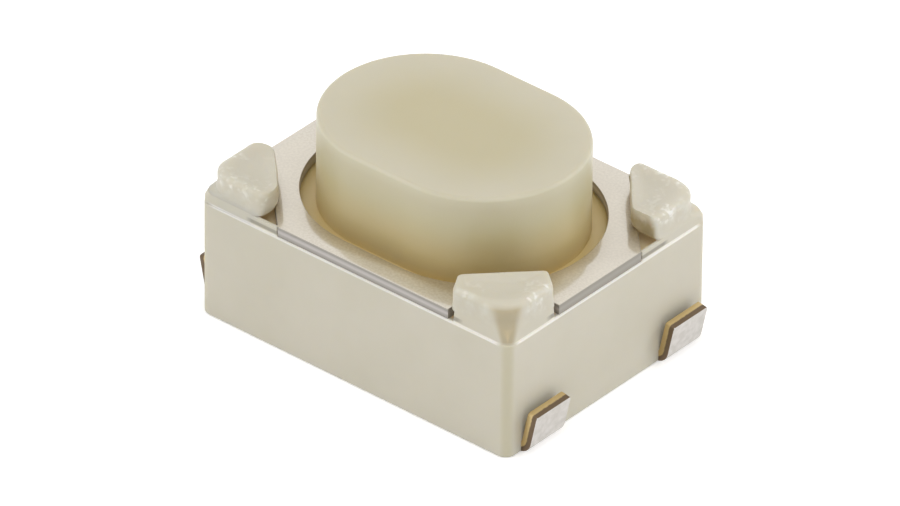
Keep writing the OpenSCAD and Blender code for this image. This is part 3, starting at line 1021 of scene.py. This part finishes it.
# %% One post
LUMP_SIZE = 0.22
LUMP_HEIGHT = 0.01
LUMP_SEED = 1
NOISE_SHIFT = (3, 5)
DISH_STEPS = ((0.88, 0.005), (0.75, 0.018), (0.6, 0.016))
RING_CUTS = 4
LONG_EDGE = 0.13

noise.seed_set(LUMP_SEED)


def post(sign_x, sign_y):
    """One closed post at the corner given by the two signs."""
    bm = bmesh.new()
    head = HEADS[sign_x, sign_y]
    levels = DRAWN_LEVELS if (sign_x, sign_y) == DRAWN_POST else LEVELS
    rings = [post_ring(bm, head, *sizes) for sizes in post_levels(levels, crown_corner=head[-1])]
    for lower, upper in zip(rings, rings[1:]):
        bmesh.ops.bridge_loops(bm, edges=lower + upper)
    level_edges = [e for e in bm.edges if abs(e.verts[0].co.z - e.verts[1].co.z) < MERGE]
    long_edges = [edge for edge in level_edges if edge.calc_length() > LONG_EDGE]
    bmesh.ops.subdivide_edges(bm, edges=long_edges, cuts=RING_CUTS, use_grid_fill=True)
    cap_holes(bm)
    bmesh.ops.recalc_face_normals(bm, faces=bm.faces)
    crown = max(bm.faces, key=lambda face: face.calc_center_median().z)
    for shrink, drop in DISH_STEPS:
        crown = push(bm, crown, (0, 0, -drop))
        middle = Matrix.Translation(-crown.calc_center_median())
        bmesh.ops.scale(bm, vec=(shrink, shrink, 1), space=middle, verts=crown.verts[:])
    shift = Vector((NOISE_SHIFT[0] * sign_x, NOISE_SHIFT[1] * sign_y, 0))
    for vert in bm.verts:
        if vert.co.z > COVER_TOP + OVERLAP / 2:
            vert.co += noise.noise_vector((vert.co + shift) / LUMP_SIZE) * LUMP_HEIGHT
            vert.co.z = min(vert.co.z, HEAD_TOP)
    bmesh.ops.scale(bm, vec=(sign_x, sign_y, 1), verts=bm.verts)
    return bm


# %% [markdown]
# The housing is one moulding, so it is built as one closed skin. A rounded box comes first.
# The guide for the flange and the round well for the dome are cut out of it, and so is the
# space of both contact strips, because the real strips are moulded in. Booleans are the right
# tool here: a mould is also a set of joined cavities.

# %% Housing box
GUIDE_GAP = 0.03
FLOOR_T = 0.36
DOME_GAP = 0.05
OVER_TRAVEL = 0.03
RIM_EDGE = 0.02
FOOT_EDGE = 0.02

bm = bmesh.new()
block(bm, (house_low.x, house_low.y, 0), (house_high.x, house_high.y, RIM_Z))
upright = [edge for edge in bm.edges if abs(edge.verts[0].co.z - edge.verts[1].co.z) > RIM_Z / 2]
bmesh.ops.bevel(
    bm, geom=upright, offset=CORNER_R, affect="EDGES", segments=CORNER_STEPS, profile=0.5, material=-1,
)
round_sharp_edges(bm, RIM_EDGE, low=RIM_Z - MERGE)
round_sharp_edges(bm, FOOT_EDGE, high=MERGE)

guide = bmesh.new()
profile = [(0, flange_low - TRAVEL - OVER_TRAVEL), (0, RIM_Z + OVERLAP)]
sweep_stadium(guide, profile, flange_l + 2 * GUIDE_GAP, flange_w + 2 * GUIDE_GAP)
cap_holes(guide)
bm = combine(bm, guide, "DIFFERENCE")
bm = combine(bm, cylinder(dome_r + DOME_GAP, FLOOR_T, RIM_Z, DOME_TURN_STEPS), "DIFFERENCE")
for sign in (-1, 1):
    bm = combine(bm, contact_frame(sign, soft=False), "DIFFERENCE")
print("housing box:", len(bm.faces), "faces")

# %% [markdown]
# Last, the four posts are joined on. In the two open notches a thin lip of the wall stands
# beside the post, up to just below the cover's top. It is a box along each of the two walls.

# %% Posts and lips
LIP_FROM = 0.7
LIP_TO = 1.052
LIP_INSET = 0.012
LIP_T = 0.03
LIP_LACK = 0.006

for sign_x, sign_y in HEADS:
    bm = combine(bm, post(sign_x, sign_y), "UNION")
corner = (BODY_L / 2, BODY_W / 2)
along = [(reach - LIP_TO, reach - LIP_FROM) for reach in corner]
across = [(reach - LIP_INSET - LIP_T, reach - LIP_INSET) for reach in corner]
for sign in (-1, 1):
    for wall in ((along[0], across[1]), (across[0], along[1])):
        spans = [sorted((sign * a, sign * b)) for a, b in wall]
        spans.append((RIM_Z - OVERLAP, COVER_TOP - LIP_LACK))
        lip = bmesh.new()
        block(lip, *zip(*spans))
        bm = combine(bm, lip, "UNION")
finish_piece(bm, "moulded_housing", "base", "housing", [housing_resin])

# %% [markdown]
# The photograph has a plain white ground. A floor that is white paint would need too much
# light to look white, so the floor adds a little light of its own where the camera sees it.
# The soft shadow under the switch stays. The floor lies a hair below the underside, because two
# faces in one plane flicker. The sky is white too, and mirrors in the metal.

# %% Floor and sky
FLOOR_SIZE = 0.4
FLOOR_Z = -0.004
FLOOR_GLOW = 0.35
SKY_LIGHT = 0.72

floor_mesh = bmesh.new()
bmesh.ops.create_grid(floor_mesh, x_segments=1, y_segments=1, size=FLOOR_SIZE / 2)
bmesh.ops.translate(floor_mesh, vec=(0, 0, FLOOR_Z * MM), verts=floor_mesh.verts)
floor_data = bpy.data.meshes.new("floor")
floor_mesh.to_mesh(floor_data)
floor_mesh.free()
floor = bpy.data.objects.new("floor", floor_data)
bpy.context.collection.objects.link(floor)


def seen_share(tree):
    """1 for rays from the camera and for rays mirrored or bent towards it, otherwise 0."""
    path = add_node(tree, "LightPath").outputs
    seen = path["Is Camera Ray"]
    for ray in ("Is Glossy Ray", "Is Transmission Ray"):
        seen = add_node(tree, "Math", {"operation": "MAXIMUM"}, _0=seen, _1=path[ray])
    return seen


paper, tree, _ = new_material("white_paper")
glow = add_node(tree, "Math", {"operation": "MULTIPLY"}, _0=seen_share(tree), _1=FLOOR_GLOW)
shader = add_node(
    tree, "BsdfPrincipled", Base_Color=linear("f6f6f6"), Roughness=0.9, Specular_IOR_Level=0.0,
    Emission_Color=(1, 1, 1, 1), Emission_Strength=glow,
)
add_node(tree, "OutputMaterial", Surface=shader)
floor_data.materials.append(paper)

world = bpy.data.worlds.new("white_room")
world.use_nodes = True
tree = world.node_tree
tree.nodes.clear()
strength = add_node(tree, "MapRange", Value=seen_share(tree), To_Min=SKY_LIGHT, To_Max=1.0)
sky = add_node(tree, "Background", Color=(1, 1, 1, 1), Strength=strength)
add_node(tree, "OutputWorld", Surface=sky)
bpy.context.scene.world = world
print("floor", FLOOR_SIZE, "m, sky light", SKY_LIGHT)

# %% [markdown]
# Three soft lamps model the shape. One stands behind on the right and, together with the
# rim's painted highlight, draws the bright line along the right rim, one in front on the left does
# the same for the left rim, and a wide one hangs above. Each is aimed at the middle of the switch.

# %% Lamps
LAMPS = [
    ("lamp_back_right", (0.55, 0.64, 0.54), 0.06, 0.02, 0.006),
    ("lamp_front_left", (-0.54, -0.55, 0.64), 0.06, 0.02, 0.005),
    ("lamp_above", (0.2, -0.1, 1.0), 0.07, 0.05, 0.006),
]
target = Vector((0, 0, RIM_Z * MM))
for name, towards, distance, size, watts in LAMPS:
    data = bpy.data.lights.new(name, "AREA")
    data.shape = "DISK"
    data.size = size
    data.energy = watts
    lamp = bpy.data.objects.new(name, data)
    lamp.location = target + Vector(towards).normalized() * distance
    lamp.rotation_euler = (lamp.location - target).to_track_quat("Z", "Y").to_euler()
    bpy.context.collection.objects.link(lamp)
bpy.context.scene.view_settings.view_transform = "Standard"
print("lamps:", [lamp[0] for lamp in LAMPS])
